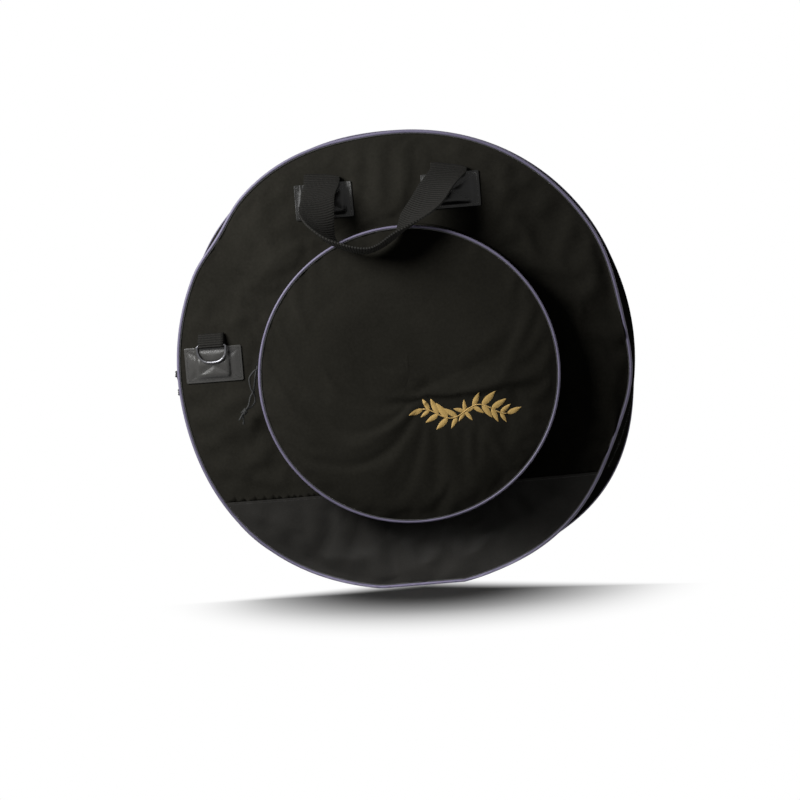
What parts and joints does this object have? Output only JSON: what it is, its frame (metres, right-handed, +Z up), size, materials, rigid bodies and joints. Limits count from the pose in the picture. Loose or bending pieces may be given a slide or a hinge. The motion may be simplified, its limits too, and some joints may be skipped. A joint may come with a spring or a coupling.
{
  "type": "cymbal bag",
  "caption": "Round padded cymbal bag standing on its rim, with piping, a round zipped front pocket, webbing handles, D-rings and a zip round the gusset.",
  "frame": {"origin": "centre of the bounding box, on the floor the bag stands on", "axes": "+Z up; -Y the front with the pocket; +X to the right seen from the front"},
  "size_m": [0.657, 0.315, 0.6455],
  "materials": {
    "nylon": "matte black woven nylon",
    "leatherette": "satin black leatherette with a fine grain",
    "foam": "grey closed-cell foam",
    "lining": "charcoal brushed lining",
    "piping": "satin lavender-grey piping",
    "zip": "black zip tape with black coil teeth",
    "webbing": "black ribbed webbing",
    "cord": "black braided cord",
    "nickel": "dark nickel-plated wire",
    "black_metal": "black enamelled zip slider"
  },
  "bodies": {
    "back_half": {"back_panel": "nylon", "back_lower_panel": "leatherette", "back_foam": "foam", "back_lining": "lining", "back_piping": "piping", "back_gusset": "nylon", "base_gusset_back": "leatherette", "main_zip_back": "zip", "back_handle_patch_left": "leatherette", "back_handle_patch_right": "leatherette", "back_handle_end_left": "webbing", "back_handle_end_right": "webbing", "back_d_ring_patch": "leatherette", "back_d_ring_tab": "webbing"},
    "front_half": {"front_panel": "nylon", "front_lower_panel": "leatherette", "front_foam": "foam", "front_lining": "lining", "front_piping": "piping", "front_gusset": "nylon", "base_gusset_front": "leatherette", "main_zip_front": "zip", "front_handle_patch_left": "leatherette", "front_handle_patch_right": "leatherette", "front_handle_end_left": "webbing", "front_handle_end_right": "webbing", "front_d_ring_patch": "leatherette", "front_d_ring_tab": "webbing", "pocket_panel_lower": "nylon", "pocket_piping_lower": "piping", "pocket_gusset_lower": "nylon", "pocket_gusset_upper": "nylon", "pocket_zip_back": "zip"},
    "pocket_flap": {"pocket_panel_upper": "nylon", "pocket_piping_upper": "piping", "pocket_gusset_front": "nylon", "pocket_zip_front": "zip"},
    "front_handle": {"front_handle_strap": "webbing"},
    "front_d_ring_loop": {"front_d_ring_loop": "webbing"},
    "front_d_ring": {"front_d_ring": "nickel"},
    "divider_front": {"divider_front": "lining"},
    "back_handle": {"back_handle_strap": "webbing"},
    "back_d_ring_loop": {"back_d_ring_loop": "webbing"},
    "back_d_ring": {"back_d_ring": "nickel"},
    "divider_back": {"divider_back": "lining"},
    "pocket_slider": {"pocket_slider": "black_metal"},
    "pocket_pull": {"pocket_pull_cord": "cord", "pocket_pull_knot": "cord"},
    "main_slider_left": {"main_slider_left": "black_metal"},
    "main_pull_left": {"main_pull_left_cord": "cord", "main_pull_left_knot": "cord"},
    "main_slider_right": {"main_slider_right": "black_metal"},
    "main_pull_right": {"main_pull_right_cord": "cord", "main_pull_right_knot": "cord"}
  },
  "joints": [
    {"name": "lid_fold", "type": "hinge", "parent": "back_half", "child": "front_half", "pos_m": [0, 0, 0], "axis": [1, 0, 0], "range_deg": [0, 170]},
    {"name": "pocket_fold", "type": "hinge", "parent": "front_half", "child": "pocket_flap", "pos_m": [0, -0.1073, 0.29185], "axis": [1, 0, 0], "range_deg": [0, 150]},
    {"name": "front_handle_swing", "type": "hinge", "parent": "front_half", "child": "front_handle", "pos_m": [-0.005, -0.05653, 0.591], "axis": [-1, 0, 0], "range_deg": [0, 140], "deforming": ["front_handle_strap"]},
    {"name": "back_handle_swing", "type": "hinge", "parent": "back_half", "child": "back_handle", "pos_m": [0.005, 0.05653, 0.591], "axis": [1, 0, 0], "range_deg": [0, 140]},
    {"name": "front_d_ring_loop_fold", "type": "hinge", "parent": "front_half", "child": "front_d_ring_loop", "pos_m": [-0.271, -0.05631, 0.379], "axis": [-0.9845, 0.1755, 0], "range_deg": [0, 90]},
    {"name": "front_d_ring_swing", "type": "hinge", "parent": "front_d_ring_loop", "child": "front_d_ring", "pos_m": [-0.27205, -0.06222, 0.365], "axis": [-0.9845, 0.1755, 0], "range_deg": [0, 80]},
    {"name": "back_d_ring_loop_fold", "type": "hinge", "parent": "back_half", "child": "back_d_ring_loop", "pos_m": [0.271, 0.0561, 0.379], "axis": [0.9834, -0.1813, 0], "range_deg": [0, 90]},
    {"name": "back_d_ring_swing", "type": "hinge", "parent": "back_d_ring_loop", "child": "back_d_ring", "pos_m": [0.27209, 0.062, 0.365], "axis": [0.9834, -0.1813, 0], "range_deg": [0, 80]},
    {"name": "pocket_slider_run", "type": "hinge", "parent": "front_half", "child": "pocket_slider", "pos_m": [0.006, -0.07815, 0.303], "axis": [0, 1, 0], "range_deg": [0, 165]},
    {"name": "pocket_pull_swing", "type": "hinge", "parent": "pocket_slider", "child": "pocket_pull", "pos_m": [-0.20766, -0.07815, 0.33113], "axis": [0, 1, 0], "range_deg": [0, 80]},
    {"name": "main_slider_left_run", "type": "hinge", "parent": "back_half", "child": "main_slider_left", "pos_m": [0, 0, 0.32], "axis": [0, -1, 0], "range_deg": [0, 28]},
    {"name": "main_pull_left_swing", "type": "hinge", "parent": "main_slider_left", "child": "main_pull_left", "pos_m": [-0.32249, 0, 0.36418], "axis": [0, 1, 0], "range_deg": [0, 90]},
    {"name": "main_slider_right_run", "type": "hinge", "parent": "back_half", "child": "main_slider_right", "pos_m": [0, 0, 0.32], "axis": [0, 1, 0], "range_deg": [0, 187]},
    {"name": "main_pull_right_swing", "type": "hinge", "parent": "main_slider_right", "child": "main_pull_right", "pos_m": [-0.31815, 0, 0.38879], "axis": [0, 1, 0], "range_deg": [0, 90]},
    {"name": "divider_front_tip", "type": "hinge", "parent": "front_half", "child": "divider_front", "pos_m": [0, -0.011, 0.0053], "axis": [1, 0, 0], "range_deg": [-45, 0]},
    {"name": "divider_back_tip", "type": "hinge", "parent": "back_half", "child": "divider_back", "pos_m": [0, 0.011, 0.0053], "axis": [1, 0, 0], "range_deg": [0, 45]}
  ],
  "couplings": [
    {"joint": "divider_front_tip", "follows": "lid_fold", "ratio": -0.25},
    {"joint": "divider_back_tip", "follows": "lid_fold", "ratio": 0.25}
  ]
}
